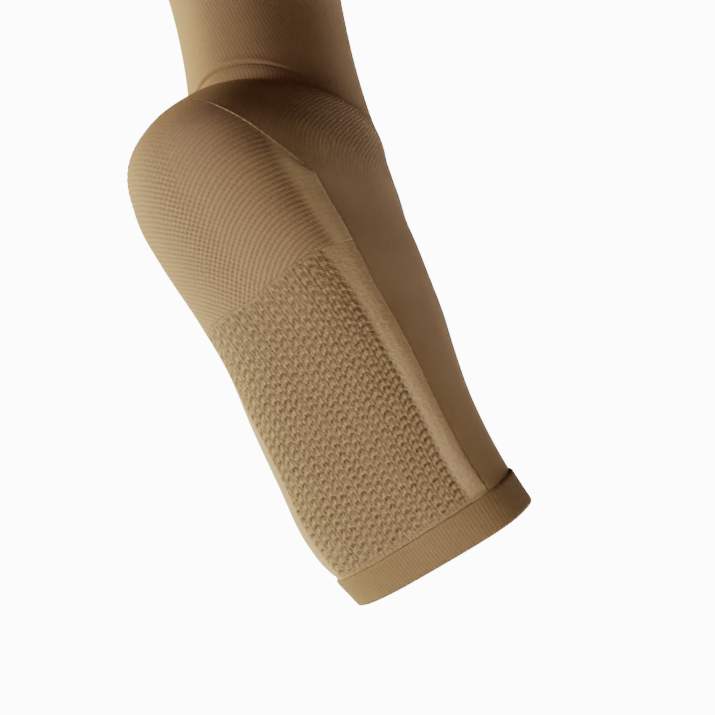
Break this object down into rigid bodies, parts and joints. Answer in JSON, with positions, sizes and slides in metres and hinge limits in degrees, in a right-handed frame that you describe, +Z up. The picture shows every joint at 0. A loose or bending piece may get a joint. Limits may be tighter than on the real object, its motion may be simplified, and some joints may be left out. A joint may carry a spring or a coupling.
{
  "type": "compression stocking",
  "caption": "Knee-high open-toe compression stocking for a left foot, in its worn and pointed shape, with a heel pocket, a mesh knit sole and folded bands at the knee and toes.",
  "frame": {"origin": "centre of the top opening, in the plane of its edge, where the leg holds the stocking up", "axes": "+Z up the leg and out of the top opening, -Y towards the toes, -X towards the inner side of the left foot"},
  "size_m": [0.112, 0.1436, 0.4861],
  "materials": {
    "leg_knit": "fine matte elastic knit",
    "heel_knit": "close ribbed elastic knit, matte",
    "sole_mesh_knit": "open tuck mesh knit, matte",
    "band_knit": "cross ribbed folded knit, matte"
  },
  "bodies": {
    "root": {"top_band": "band_knit", "leg": "leg_knit", "heel": "heel_knit", "sole": "sole_mesh_knit", "toe_band": "band_knit"}
  },
  "joints": []
}
